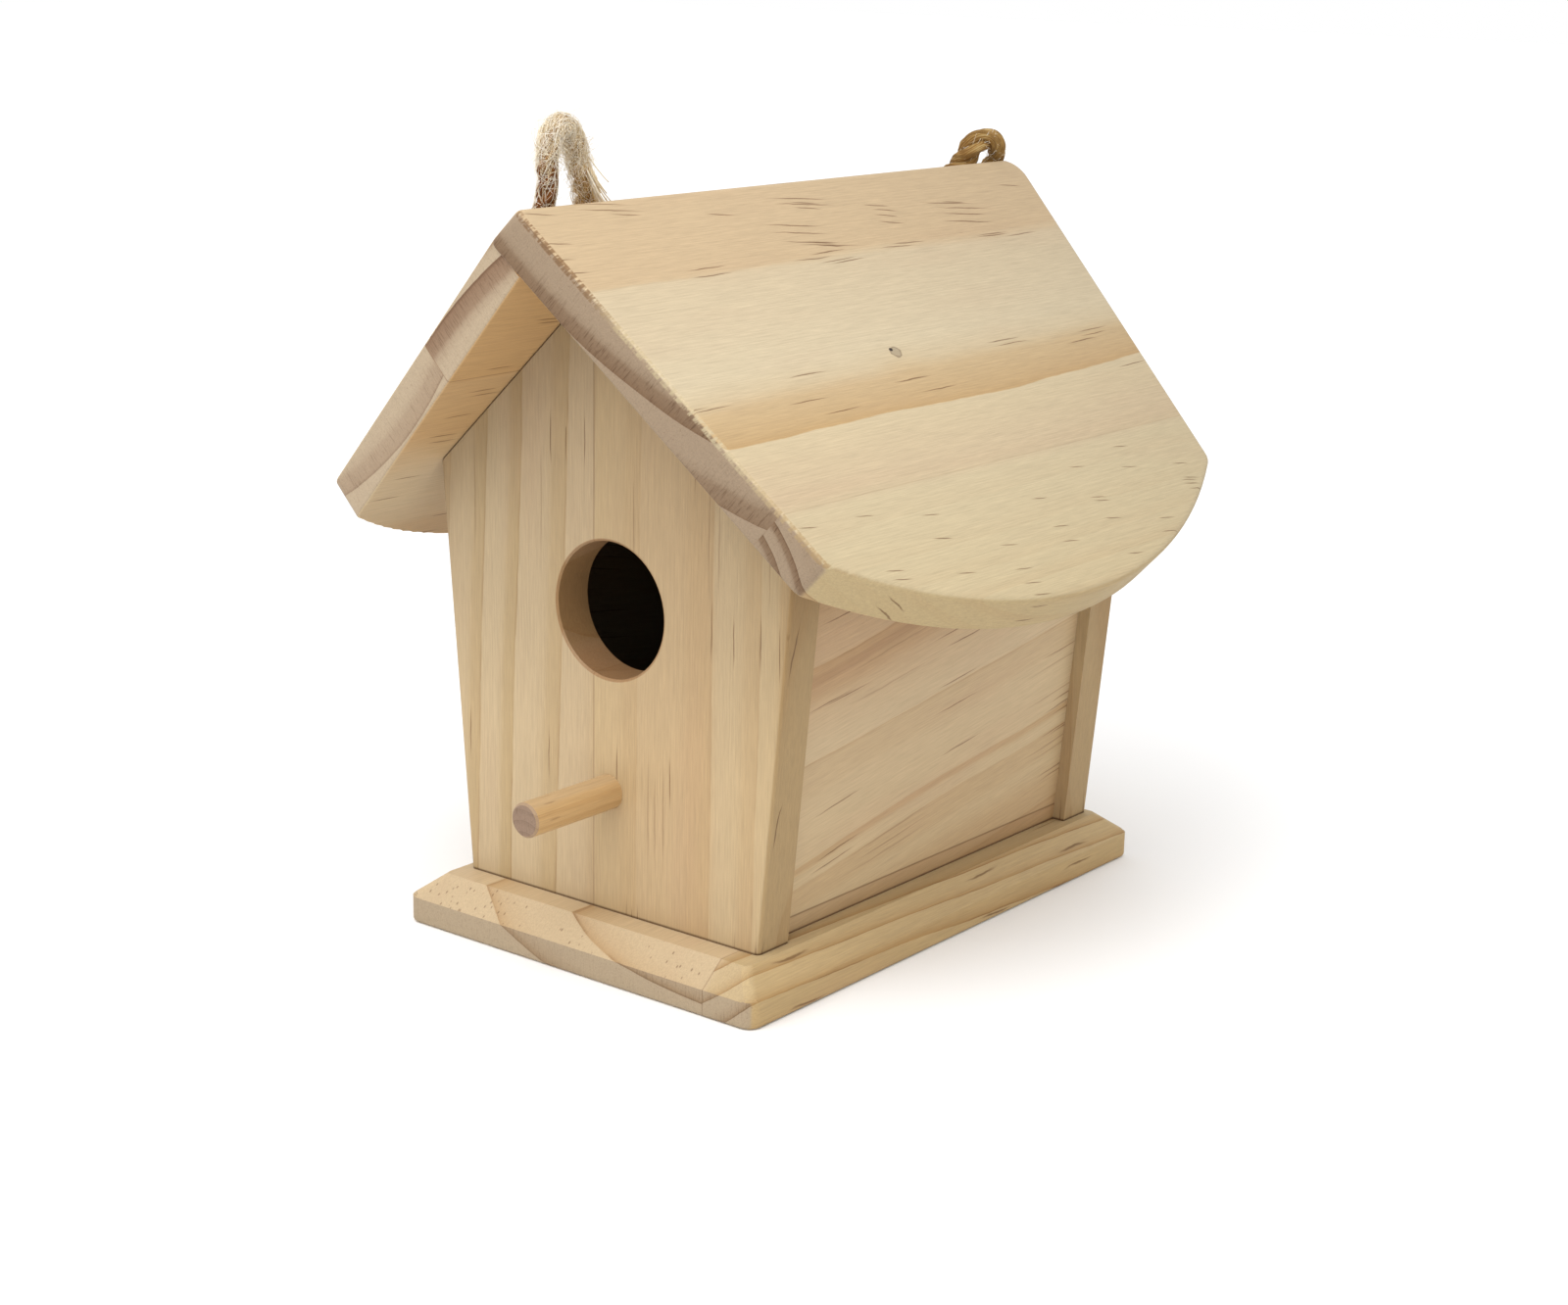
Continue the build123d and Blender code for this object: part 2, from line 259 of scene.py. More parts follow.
def ropeStrands(look, line):
    # three strands: centre = line + offset(cos a, sin a), a = 2 pi s / lay + phase;
    # skin = centre + r(cos b, sin b), r swelling in ridges that run round the strand; both grow
    # by 1 + share exp(-((s - where)/length)^2) where a bend opens the rope
    s = alongLine(line)
    first, second = crossFrame(line, look["aside"])
    phase = np.arange(3)[:, None] * 2 * math.pi / 3
    turn = 2 * math.pi * s[None] / look["lay"] + phase
    where, reach, share = look["opened"]
    grown = 1 + share * np.exp(-((s - where) / reach) ** 2)
    centre = line[None] + look["strandOffset"] * grown[None, :, None] * (
        np.cos(turn)[..., None] * first + np.sin(turn)[..., None] * second)
    strandTangent = unit(np.gradient(centre, axis=1))
    sideways = unit(np.cross(strandTangent, centre - line[None]))
    outward = np.cross(sideways, strandTangent)
    around = np.arange(14) / 14 * 2 * math.pi
    ridge = 1 + 0.05 * np.cos(5 * around[None, None] - s[None, :, None] * 1.1 + phase[:, :, None])
    radius = (look["strandRadius"] * ridge * grown[None, :, None])[..., None]
    skin = centre[:, :, None] + radius * (
        np.cos(around)[None, None, :, None] * outward[:, :, None]
        + np.sin(around)[None, None, :, None] * sideways[:, :, None])
    lie = np.zeros(skin.shape)
    lie[..., 0] = s[None, :, None]
    lie[..., 1] = (around[None, None] + s[None, :, None] * 0.22) * look["strandRadius"]
    lie[..., 2] = np.arange(3)[:, None, None] * 7.3
    return skin, lie


route = splineOf(ropeLook["points"], 40)
skin, lie = ropeStrands(ropeLook, route)
rope = gridMesh("hangingRope", skin, juteYarn, cap=True, lie=lie)
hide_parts("hanging_rope")
print("rope laid:", round(alongLine(route)[-1], 1), "mm")


# Loose fibres on the rope

fuzzLook = dict(
    seed=4,
    # where along the rope in mm, how many hairs, length, how far off the rope, share that stands out
    patches=[
        dict(part=(54, 78), hairs=900, length=(4, 10), off=0.8, standing=0.22),
        dict(part=(28, 58), hairs=420, length=(4, 10), off=0.9, standing=0.3),
        dict(part=(76, 98), hairs=300, length=(3, 8), off=0.3, standing=0.05),
        dict(part=(98, 388), hairs=500, length=(3, 6), off=0.3, standing=0.25),
        dict(part=(388, 430), hairs=300, length=(1.5, 4), off=0.3, standing=0.5),
    ],
    lieAt=2.62,  # mm from the rope's middle line to a lying hair
    standAt=2.5,  # and to a standing hair's root
    standLength=0.45,  # a standing hair is this share as long as a lying one
    radius=0.07,
    clear=0.12,  # mm that each hair's middle keeps off the roof
)


def hairPaths(look, line, rng):
    # a hair lies on the rope or leaves it: at t from 0 to 1, s = s0 + length cos(slant) t either way,
    # angle = a0 + length sin(slant) t / 3, and the reach from the middle line is
    # lieAt + off(4t(1 - t) + 0.5) when it lies, or standAt + length t^1.4 when it stands
    s = alongLine(line)
    first, second = crossFrame(line, ropeLook["aside"])
    t = np.linspace(0, 1, 6)[None]
    paths = []
    for patch in look["patches"]:
        count = patch["hairs"]
        start = rng.uniform(*patch["part"], count)[:, None]
        angle = rng.uniform(0, 2 * math.pi, count)[:, None]
        length = rng.uniform(*patch["length"], count)[:, None]
        slant = rng.normal(0, 0.8, count)[:, None]
        stands = rng.random(count)[:, None] < patch["standing"]
        length = np.where(stands, length * look["standLength"], length)
        eitherWay = np.sign(rng.normal(size=(count, 1)))
        way = np.clip(start + length * np.cos(slant) * t * eitherWay, 1, s[-1] - 1)
        swing = angle + length * np.sin(slant) * t / 3.0
        off = patch["off"] * rng.random(count)[:, None]
        standing = look["standAt"] + length * t ** 1.4
        lying = look["lieAt"] + off * 4 * t * (1 - t) + off * 0.5
        reach = np.where(stands, standing, lying)
        place = np.stack([np.interp(way, s, line[:, i]) for i in range(3)], axis=-1)
        one = np.stack([np.interp(way, s, first[:, i]) for i in range(3)], axis=-1)
        two = np.stack([np.interp(way, s, second[:, i]) for i in range(3)], axis=-1)
        sideways = np.cos(swing)[..., None] * one + np.sin(swing)[..., None] * two
        paths.append(place + reach[..., None] * unit(sideways))
    return np.concatenate(paths)


def clearOfRoof(paths, clear):
    # out = side x sin(pitch) + (z - ridge) cos(pitch) for each slope. A point under both slopes is
    # in the wood, and is pushed out through the left one
    slopes = [side * paths[..., 0] * sinP + (paths[..., 2] - ridgeZ) * cosP for side in (-1, 1)]
    above = np.maximum(*slopes)
    push = np.where(above < clear, clear - slopes[0], 0)[..., None]
    return paths + push * np.array((-sinP, 0, cosP))


def thinTubes(paths, radius, sides, taper):
    # skin = path + r(t)(cos b, sin b) square to the path, r falling to taper times itself
    tangent = unit(np.gradient(paths, axis=1))
    first = unit(np.cross(tangent, np.array((0.31, 0.52, 0.8))))
    second = np.cross(tangent, first)
    around = np.arange(sides) / sides * 2 * math.pi
    thick = (radius * np.linspace(1, taper, paths.shape[1]))[None, :, None, None]
    return paths[:, :, None] + thick * (
        np.cos(around)[None, None, :, None] * first[:, :, None]
        + np.sin(around)[None, None, :, None] * second[:, :, None])


def fibreMaterial(name):
    # single bast fibres: cream to straw, each a little different; the near-white end is painted light, for
    # the light that shines through thin fibres
    material, tree, shader = newMaterial(name)
    island = addNode(tree, "NewGeometry").node.outputs["Random Per Island"]
    creams = [(0.0, "#D2B98C"), (0.3, "#EBDCBC"), (1.0, "#FFFAF0")]
    colour = addNode(tree, "ValToRGB", island, stops=creams)
    tree.links.new(colour, shader.inputs["Base Color"])
    shader.inputs["Roughness"].default_value = 0.7
    shader.inputs["Specular IOR Level"].default_value = 0.3
    return material


bastFibre = fibreMaterial("juteFibre")
rng = np.random.default_rng(fuzzLook["seed"])
hairs = clearOfRoof(hairPaths(fuzzLook, route, rng), fuzzLook["clear"])
fuzz = gridMesh("ropeFuzz", thinTubes(hairs, fuzzLook["radius"], 3, 0.4), bastFibre)
print("fibres:", len(hairs))


# Frayed yarns on the front arch's right leg

frayLook = dict(
    start=50.0,  # mm along the rope where the first yarn leaves it
    yarns=26,
    fall=19.0,  # mm of rope that the longest one runs back over
    root=2.0,  # mm from the rope's middle line where each one leaves
    spread=6.0,
    radius=0.24,
)


def frayedYarns(look, line, rng):
    # at t from 0 to 1 a yarn runs back down the leg from start and drifts off it, each by its own
    # share f and to its own side: place = line(start - fall t) + aside(root + spread f t^1.5)
    s = alongLine(line)
    t = np.linspace(0, 1, 12)[None]
    count = look["yarns"]
    fall = look["fall"] * rng.uniform(0.5, 1.0, count)[:, None]
    way = look["start"] + rng.uniform(0, 10, count)[:, None] - fall * t
    place = np.stack([np.interp(way, s, line[:, i]) for i in range(3)], axis=-1)
    turn = rng.uniform(-0.9, 0.9, count)[:, None]
    aside = np.stack([
        0.78 * np.cos(turn) + 0.4 * np.sin(turn),
        0.62 * np.cos(turn) - 0.6 * np.sin(turn),
        np.full_like(turn, -0.1),
    ], axis=-1)
    share = np.linspace(0.15, 1, count)[:, None]
    drift = look["root"] + look["spread"] * share * t ** 1.5
    return place + drift[..., None] * unit(aside)


yarns = frayedYarns(frayLook, route, rng)
fray = gridMesh("frayedYarns", thinTubes(yarns, frayLook["radius"], 7, 0.6), bastFibre, cap=True)


# Stopper knots under the left roof board

knotLook = dict(
    ropeLook, strandRadius=1.12, strandOffset=1.15, lay=12.0, aside=(0.1, 0.2, 1),
    wide=2.75, swing=1.35, high=2.7, middle=-5.2, opened=(0, 1, 0),
)


def makeKnot(name, nodeName, hole):
    # a trefoil: ((wide + swing cos 3u) cos 2u, (wide + swing cos 3u) sin 2u, high sin 3u)
    u = np.linspace(0, 2 * math.pi, 150)
    out = knotLook["wide"] + knotLook["swing"] * np.cos(3 * u)
    lobes = np.stack([out * np.cos(2 * u), out * np.sin(2 * u), knotLook["high"] * np.sin(3 * u)], axis=-1)
    down = np.array((-cosP, 0, -sinP))
    outward = np.array((-sinP, 0, cosP))
    middle = np.array(onSlope(-1, *hole, knotLook["middle"] - boardThick))
    line = middle + lobes @ np.stack([down, np.array((0, 1, 0)), outward])
    knotSkin, knotLie = ropeStrands(knotLook, line)
    knot = gridMesh(name, knotSkin, juteYarn, cap=True, lie=knotLie)
    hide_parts(nodeName)
    return knot


knots = [
    makeKnot("knotFront", "rope_knot_front", frontHole),
    makeKnot("knotRear", "rope_knot_rear", rearHole),
]
print("knots tied")


# Pine boards

lean = math.radians(4.99)
rgba = dict(data_type="RGBA")
smooth = dict(interpolation_type="SMOOTHSTEP")

# The nest cavity, whose faces take a painted shade, and the dark gaps along the walls, in mm. A roof height
# is z + wide tan(pitch)
cavity = dict(middle=3.0, halfLength=68.7, halfWidth=36.5, floor=13.8, roof=192.5)
wallGaps = dict(foot=(14.9, 14.3), roof=(191.0, 191.7))

# How a late-wood band builds up inside one growth ring, from its pale start to its dark edge
ringProfile = [(0.0, 0.0), (0.45, 0.04), (0.60, 0.25), (0.70, 0.68), (0.93, 0.85), (1.0, 1.0)]


def pine(name, look):
    # Radiata pine, planed and sanded, unfinished. The growth rings are cylinders round a pith line
    # that lies outside the board, so face, edge and end show the same rings: wide pale early wood
    # that darkens into tan late wood and stops at a sharp line. Grain runs along the first axis.
    material, tree, shader = newMaterial(name)
    add = partial(addNode, tree)
    grain, out = Vector(look["grain"]).normalized(), Vector(look["out"]).normalized()
    sideways = out.cross(grain)
    turn = Matrix((grain, sideways, out)).transposed().to_euler()
    seed, width = look["seed"], look["width"]

    def streaks(size, detail=2.0, roughness=0.5, shift=0.0):
        # noise whose blobs are size mm along the grain, across it and through the board
        lain = add("Mapping", place, (shift + seed, shift, shift), (0, 0, 0), size, vector_type="TEXTURE")
        return add("TexNoise", lain, 1.0, detail, roughness)

    def marked(value, marks, span, hard=False):
        # a colour or number that changes with value, marked at places between span's two ends
        low, high = span
        share = add("Math DIVIDE", add("Math SUBTRACT", value, low), high - low)
        ramp = add("ValToRGB", share, stops=[((m[0] - low) / (high - low), m[1]) for m in marks])
        ramp.node.color_ramp.interpolation = "CONSTANT" if hard else "LINEAR"
        return ramp

    coords = add("TexCoord").node
    normal = coords.outputs["Normal"]
    place = add("Mapping", coords.outputs["Object"], [c * mm for c in look["origin"]], turn, (mm, mm, mm),
                vector_type="TEXTURE")
    bend = add("VectorMath SUBTRACT", streaks((95, 38, 38), 1.0).node.outputs["Color"], (0.5, 0.5, 0.5))
    ragged = add("VectorMath SUBTRACT", streaks((14, 5, 5), 3.0, 0.6).node.outputs["Color"], (0.5, 0.5, 0.5))
    bent = add("VectorMath MULTIPLY_ADD", bend, (0, *look["wander"]), place)
    bent = add("VectorMath MULTIPLY_ADD", ragged, (0, 1.1, look.get("ragged", 0.25)), bent)
    for knot in look.get("knots", ()):
        # the grain swells round a knot: across += lift * exp(-(distance / reach)^2)
        away = add("VectorMath SUBTRACT", place, (*knot["place"], 0))
        away = add("VectorMath LENGTH", add("VectorMath MULTIPLY", away, (1 / 11, 1 / 6, 0)))
        swell = add("Math EXPONENT", add("Math MULTIPLY", add("Math POWER", away, 2.0), -1.0))
        bent = add("VectorMath ADD", bent, add("CombineXYZ", 0.0, add("Math MULTIPLY", swell, knot["lift"])))
    along, across, depth = add("SeparateXYZ", place).node.outputs
    acrossBent = add("SeparateXYZ", bent).node.outputs["Y"]

    late, seamDark = None, None
    for strip in look["strips"]:
        turned = add("Mapping", bent, (0, -strip["pith"][0], -strip["pith"][1]),
                     (0, strip.get("dive", 0), strip.get("drift", 0)))
        radius = add("VectorMath LENGTH", add("VectorMath MULTIPLY", turned, (0, 1, 1)))
        rings = strip["rings"]
        span = (rings[0][0], rings[-1][0])
        phaseMarks, strengthMarks = [], []
        for (start, _), (end, strength) in zip(rings, rings[1:]):
            phaseMarks += [(start + 0.02, 0.0), (end, 1.0)]
            strengthMarks += [(start, strength)]
        phase = marked(radius, phaseMarks, span)
        strength = marked(radius, strengthMarks, span, hard=True)
        amount = add("Math MULTIPLY", marked(phase, look.get("profile", ringProfile), (0, 1)), strength)
        edge = add("Math MULTIPLY", add("MapRange", phase, strip.get("edge", 0.93), 1.0, **smooth), strength)
        if late is None:
            late, lateEdge = amount, edge
        else:
            past = add("Math GREATER_THAN", across, strip["start"])
            late = add("Mix", past, late, amount, **rgba)
            lateEdge = add("Mix", past, lateEdge, edge, **rgba)
            line = add("Math ABSOLUTE", add("Math SUBTRACT", across, strip["start"]))
            line = add("Math MULTIPLY", add("MapRange", line, 0.3, 0.05, **smooth), strip.get("seam", 0.5))
            seamDark = line if seamDark is None else add("Math MAXIMUM", seamDark, line)

    facing = add("Math ABSOLUTE", add("VectorMath DOT_PRODUCT", normal, tuple(grain)))
    endGrain = add("MapRange", facing, 0.58, 0.8, **smooth)
    edgeFace = add("Math ABSOLUTE", add("VectorMath DOT_PRODUCT", normal, tuple(sideways)))
    edgeFace = add("MapRange", edgeFace, 0.45, 0.8, **smooth)
    fibre = streaks((22, 0.55, 0.55), 3.0, 0.65)
    fine = streaks((7, 0.28, 0.28), 2.0, 0.6, shift=30)

    paleWood = marked(acrossBent, look["early"], width)
    tanWood = marked(acrossBent, look["late"], width)
    face = add("Mix", late, paleWood, tanWood, **rgba)
    # the last cells of a ring: a hair line that comes and goes along the board
    patchy = add("MapRange", streaks((30, 9, 9), 2.0, 0.6, shift=200), 0.38, 0.62, **smooth)
    line = add("Math MULTIPLY", add("Math MULTIPLY", lateEdge, patchy), look.get("line", 0.55))
    face = add("Mix", line, face, linear("#8E6236"), **rgba)
    # pinkish heartwood clouds
    cloud = add("MapRange", streaks((70, 14, 14), shift=60), 0.5, 0.75, **smooth)
    face = add("Mix", add("Math MULTIPLY", cloud, look.get("pink", 0.12)), face, linear("#CFA283"), **rgba)
    # resin canals: hair-thin brown dashes a few mm long. They lie on a face and on its edge alike,
    # so the width is counted across the board and on down its edge
    flat = add("CombineXYZ", along, add("Math MULTIPLY_ADD", depth, 0.55, acrossBent))
    for dash in look["dashes"]:
        lain = add("Mapping", flat, (seed, dash.get("shift", 0), 0), (0, 0, dash.get("tilt", 0)),
                   (*dash["size"], 1), vector_type="TEXTURE")
        cells = add("TexVoronoi", lain, 1.0, voronoi_dimensions="2D").node
        dots = add("MapRange", cells.outputs["Distance"], dash.get("reach", 0.2), 0.07, **smooth)
        chosen = add("Math LESS_THAN", add("SeparateColor", cells.outputs["Color"]),
                     marked(acrossBent, dash["zones"], width))
        dots = add("Math MULTIPLY", add("Math MULTIPLY", dots, chosen), dash.get("dark", 0.7))
        face = add("Mix", dots, face, linear("#74491F"), **rgba)
    for knot in look.get("knots", ()):
        # a pin knot: a black heart 1 mm across at one side of a grey swirl
        heart = add("VectorMath SUBTRACT", bent, (*knot["place"], 0))
        heart = add("VectorMath LENGTH", add("VectorMath MULTIPLY", heart, (1 / 0.95, 1 / 0.8, 0)))
        halo = add("VectorMath SUBTRACT", bent, (knot["place"][0] - 1.3, knot["place"][1] + 1.0, 0))
        halo = add("VectorMath LENGTH", add("VectorMath MULTIPLY", halo, (1 / 2.4, 1 / 1.9, 0)))
        halo = add("Math ADD", halo, add("Math MULTIPLY", streaks((2, 1.2, 2), shift=170), 0.5))
        grey = add("Math MULTIPLY", add("MapRange", halo, 1.35, 1.0, **smooth), 0.55)
        face = add("Mix", grey, face, linear("#A08F77"), **rgba)
        rim = add("Math ABSOLUTE", add("Math SUBTRACT", halo, 1.12))
        rim = add("Math MULTIPLY", add("MapRange", rim, 0.2, 0.0, **smooth), 0.5)
        face = add("Mix", rim, face, linear("#76593A"), **rgba)
        face = add("Mix", add("MapRange", heart, 1.0, 0.6, **smooth), face, linear("#33211A"), **rgba)

    # end grain drinks the light: duller, with brown saw marks that crowd in the late wood
    end = add("Mix", late, linear(look["endEarly"]), linear(look["endLate"]), **rgba)
    saw = streaks((4, 0.45, 5), 2.0, 0.65, shift=90)
    sawn = add("MapRange", saw, 0.5, 0.7, **smooth)
    sawn = add("Math MULTIPLY", sawn, add("Math MULTIPLY_ADD", late, look.get("hatch", 0.6), 0.1))
    end = add("Mix", sawn, end, linear("#6B4A2C"), **rgba)
    line = add("Math MULTIPLY", lateEdge, look.get("endLine", 0.5))
    end = add("Mix", line, end, linear("#6E4C30"), **rgba)
    pores = add("MapRange", streaks((3, 0.6, 0.6), 1.0, shift=120), 0.62, 0.75, **smooth)
    end = add("Mix", add("Math MULTIPLY", pores, 0.3), end, linear("#8A6A4A"), **rgba)

    colour = add("Mix", endGrain, face, end, **rgba)
    if "pitZones" in look:
        # torn pits, 0.6 mm wells, most of them where a bevel cuts the grain at a slant
        wells = add("TexVoronoi", add("VectorMath MULTIPLY", place, (0.4, 0.75, 0.4)), 1.0).node
        wanted = add("Math LESS_THAN", add("SeparateColor", wells.outputs["Color"]),
                     marked(acrossBent, look["pitZones"], width))
        slant = add("Math ABSOLUTE", add("Math SUBTRACT", facing, 0.7))
        slant = add("MapRange", slant, 0.3, 0.1, 0.25, 1.0)
        slant = add("Math MULTIPLY", slant, add("MapRange", facing, 0.3, 0.5))
        deep = add("MapRange", wells.outputs["Distance"], 0.27, 0.12, **smooth)
        deep = add("Math MULTIPLY", add("Math MULTIPLY", deep, wanted), slant)
        colour = add("Mix", add("Math MULTIPLY", deep, 0.6), colour, linear("#7A5534"), **rgba)
    if seamDark is not None:
        colour = add("Mix", seamDark, colour, linear("#8A6440"), **rgba)
    if "arris" in look:
        # a rounded edge shows torn fibre ends, brown in places, and a cream painted highlight in others
        up = add("Math MAXIMUM", add("VectorMath DOT_PRODUCT", normal, tuple(out)), 0.0)
        band = add("MapRange", add("Math MULTIPLY", up, facing), 0.18, 0.36, **smooth)
        tornFibreAndHighlight = add("MapRange", streaks((3, 0.9, 3), 2.0, 0.7, shift=150), 0.36, 0.56, **smooth)
        band = add("Math MULTIPLY", add("Math MULTIPLY", band, tornFibreAndHighlight), 0.85)
        colour = add("Mix", band, colour, marked(across, look["arris"], width), **rgba)
    # painted shade on the faces inside the nest cavity, where little light gets in
    whole = add("VectorMath SCALE", coords.outputs["Object"], 1 / mm)
    x, y, z = add("SeparateXYZ", whole).node.outputs
    wide = add("Math ABSOLUTE", x)
    fromMiddle = add("Math ABSOLUTE", add("Math SUBTRACT", y, cavity["middle"]))
    roofRoom = add("Math MULTIPLY_ADD", wide, math.tan(pitch), z)
    inside = add("Math LESS_THAN", fromMiddle, cavity["halfLength"])
    for within in (
        add("Math LESS_THAN", add("Math MULTIPLY_ADD", z, -math.tan(lean), wide), cavity["halfWidth"]),
        add("Math GREATER_THAN", z, cavity["floor"]),
        add("Math LESS_THAN", roofRoom, cavity["roof"]),
    ):
        inside = add("Math MULTIPLY", inside, within)
    if "bore" in look:
        # the wall of the entrance is made darker and more orange
        height, radius = look["bore"]
        fromAxis = add("VectorMath LENGTH", add("CombineXYZ", x, add("Math SUBTRACT", z, height)))
        boreDarkening = add("Math MULTIPLY", add("Math LESS_THAN", fromAxis, radius), 0.55)
        colour = add("Mix", boreDarkening, colour, linear("#B07C4A"), **rgba)
    if "foot" in look:
        # a narrow strip glued along the panel's foot, its joint a thin dark line
        low = add("MapRange", z, look["foot"] + 0.3, look["foot"] - 0.1, **smooth)
        colour = add("Mix", add("Math MULTIPLY", low, 0.35), colour, linear("#A97E4E"), **rgba)
        fromLine = add("Math ABSOLUTE", add("Math SUBTRACT", z, look["foot"]))
        line = add("MapRange", fromLine, 0.45, 0.1, **smooth)
        colour = add("Mix", add("Math MULTIPLY", line, 0.6), colour, linear("#6E4A26"), **rgba)
        # the band of heartwood under the eave
        fromBand = add("Math ABSOLUTE", add("Math SUBTRACT", acrossBent, look["band"]))
        band = add("MapRange", fromBand, 2.2, 1.0, **smooth)
        colour = add("Mix", add("Math MULTIPLY", band, 0.25), colour, linear("#9C6E48"), **rgba)
    if look.get("joints"):
        # the hair-thin dark gaps where a wall meets the base and the roof
        gap = add("Math MAXIMUM", add("MapRange", z, *wallGaps["foot"], **smooth),
                  add("MapRange", roofRoom, *wallGaps["roof"], **smooth))
        colour = add("Mix", add("Math MULTIPLY", gap, 0.8), colour, linear("#5A3A1C"), **rgba)
    # a sawn edge is a little browner than the planed face
    edgeTint = [look.get("edgeShade", look["shade"]) * c for c in (1.03, 0.96, 0.82)]
    tint = add("Mix", edgeFace, [look["shade"]] * 3 + [1], edgeTint + [1], **rgba)
    tint = add("Mix", endGrain, tint, [look["endShade"]] * 3 + [1], **rgba)
    colour = add("Mix", 1.0, colour, tint, blend_type="MULTIPLY", **rgba)
    # lighter and darker fibres, then the painted shade inside the cavity, then painted shade as the board
    # darkens up it and along it
    shade = add("Math MULTIPLY_ADD", add("Math SUBTRACT", fibre, 0.5), look.get("fibre", 0.36), 1.0)
    shade = add("Math MULTIPLY_ADD", add("Math SUBTRACT", fine, 0.5), look.get("fine", 0.34), shade)
    # the cavity's painted shade darkens its faces to 28 %
    shade = add("Math MULTIPLY", shade, add("Math MULTIPLY_ADD", inside, -0.72, 1.0))
    # painted shade: the wall lighter low down and darker toward the top, under the roof's overhang
    if "heights" in look:
        paintedOverhangShade = add("Mix", edgeFace, marked(z, look["heights"], (0, 200)), (1, 1, 1, 1), **rgba)
        shade = add("Math MULTIPLY", shade, paintedOverhangShade)
    # painted shade: the board darker toward its rear, as the light falls off
    if "lengths" in look:
        shade = add("Math MULTIPLY", shade, marked(along, look["lengths"], (-100, 100)))
    colour = add("VectorMath SCALE", colour, shade)
    tree.links.new(colour, shader.inputs["Base Color"])
    shader.inputs["Roughness"].default_value = 0.62
    shader.inputs["Specular IOR Level"].default_value = 0.35
    grooves = add("Mix", endGrain, fine, saw, **rgba)
    height = add("Math MULTIPLY_ADD", grooves, 0.8, fibre)
    bump = add("Bump", named={"Height": height, "Strength": 0.4, "Distance": 0.00014})
    tree.links.new(bump, shader.inputs["Normal"])
    return material


roofRightLook = dict(
    origin=(0, 0, ridgeZ), grain=(0, -1, 0), out=(sinP, 0, cosP), seed=3.0,
    shade=0.675, endShade=0.57, edgeShade=0.56,
    wander=(5.0, 0.25), ragged=0.1, width=(-14, 150), pink=0.08,
    # painted shade along the board, darker toward its rear
    lengths=[(-98, 0.86), (0, 0.96), (60, 1.0)],
    strips=[
        dict(pith=(10, 175), drift=-0.015, edge=0.985,
             rings=[(160, 0), (175.95, 1.0), (188.4, 1.0), (202.5, 0.8), (216, 0.6)]),
        dict(start=101.2, seam=0.15, pith=(95, -40),
             rings=[(20, 0), (27, 0.4), (32.8, 1.0), (37.8, 1.0), (43, 0.12), (48, 0.1), (53, 0.12),
                    (58, 0.2), (64, 0.25), (70, 0.2)]),
    ],
    early=[
        (-14, "#E2C8A0"), (27, "#E1C79F"), (29, "#E2CDA9"), (62, "#E6D4B1"), (82, "#E4CFA8"),
        (99, "#DFC7A2"), (104, "#E0CDA6"), (150, "#DCC79C"),
    ],
    late=[
        (-14, "#DEC29A"), (28, "#DDC097"), (30, "#D2AC79"), (60, "#D9B784"), (82, "#D0AA74"),
        (101, "#D9BE97"), (150, "#CDA877"),
    ],
    endEarly="#B9A083", endLate="#8A6847", hatch=0.85, endLine=0.8,
    dashes=[
        dict(size=(72, 1.4), tilt=-0.12, reach=0.2, zones=[
            (-14, 0.17), (24, 0.17), (27, 0.0), (150, 0.0)]),
        dict(size=(34, 1.3), shift=2, tilt=-0.14, reach=0.2, zones=[
            (-14, 0.12), (24, 0.12), (27, 0.0), (150, 0.0)]),
        dict(size=(46, 1.2), shift=9, reach=0.22, zones=[
            (-14, 0.0), (24, 0.0), (26, 0.5), (29, 0.5), (31, 0.0), (60, 0.0), (64, 0.3), (70, 0.35),
            (74, 0.08), (82, 0.0), (150, 0)]),
        dict(size=(24, 1.1), shift=4, tilt=-0.15, zones=[
            (-14, 0.0), (98, 0.0), (104, 0.09), (150, 0.14)]),
    ],
    knots=[dict(place=(13.3, 62.6), lift=2.0)],
    # the rounded front edge by mm across: brown torn fibre, the cream a painted highlight
    arris=[
        (-14, "#8A6238"), (28, "#8E683E"), (42, "#D6C096"), (78, "#DCC9A2"), (100, "#C9AE82"),
        (125, "#B3905F"), (150, "#D8C296"),
    ],
)

roofLeftLook = dict(
    origin=(0, 0, ridgeZ), grain=(0, 1, 0), out=(-sinP, 0, cosP), seed=17.0, shade=0.66, endShade=0.72,
    wander=(5.0, 0.6), width=(-14, 155),
    strips=[
        dict(pith=(60, -257), rings=[(228, 0), (242, 0.5), (256.7, 1.0), (262, 0.8), (275, 0.8)]),
        dict(start=57.5, seam=0.5, pith=(78, 150), rings=[
            (120, 0), (147, 0.6), (162, 0.45), (176, 0.8), (190, 0.8)]),
    ],
    # the wood is more orange than the right board's, as painted warm bounce light on the underside, the face
    # that is seen
    early=[
        (-14, "#E3B981"), (57, "#E3B981"), (58, "#E3BC88"), (84, "#E2BA84"), (106, "#E6CDA4"),
        (155, "#E4CCA2"),
    ],
    late=[(-14, "#D39C5E"), (57, "#D19A5C"), (58, "#D29F62"), (155, "#D2AC78")],
    endEarly="#C4AE90", endLate="#8A6547", hatch=0.6, endLine=0.8,
    dashes=[dict(size=(34, 1.6), tilt=0.05, zones=[(-14, 0.15), (155, 0.15)])],
    # the rounded front edge: brown torn fibre, the cream a painted highlight
    arris=[(-14, "#9A754A"), (40, "#CDB488"), (155, "#D8C498")],
)

